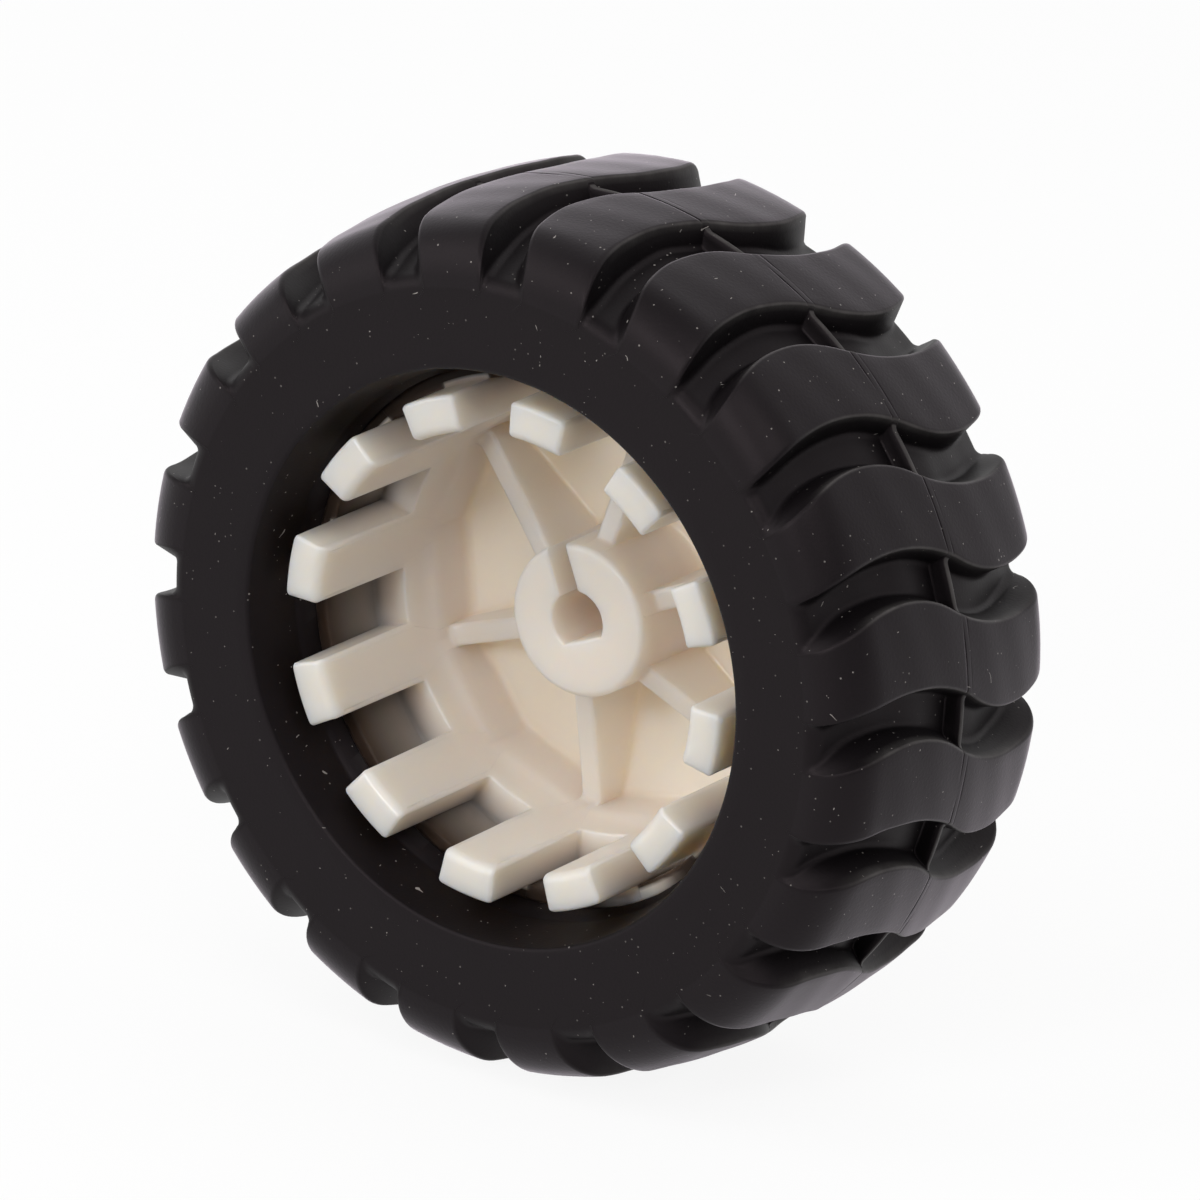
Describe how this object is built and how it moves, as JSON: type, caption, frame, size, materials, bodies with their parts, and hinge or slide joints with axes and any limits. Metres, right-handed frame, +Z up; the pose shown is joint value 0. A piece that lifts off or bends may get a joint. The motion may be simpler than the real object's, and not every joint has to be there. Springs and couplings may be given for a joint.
{
  "type": "robot car wheel",
  "caption": "Small drive wheel: white plastic hub with a toothed cup and a split D bore, in a black rubber tyre with S-shaped tread lugs.",
  "frame": {"origin": "centre of the wheel, on its axle line and midway across the tyre", "axes": "+Y along the axle line, from the toothed side that the motor's shaft enters to the closed outer side; +Z up, with the wheel standing on its tread"},
  "size_m": [0.043, 0.017, 0.043],
  "materials": {
    "hub_plastic": "satin",
    "tyre_rubber": "matte"
  },
  "bodies": {
    "root": {"hub": "hub_plastic", "tyre": "tyre_rubber"}
  },
  "joints": []
}
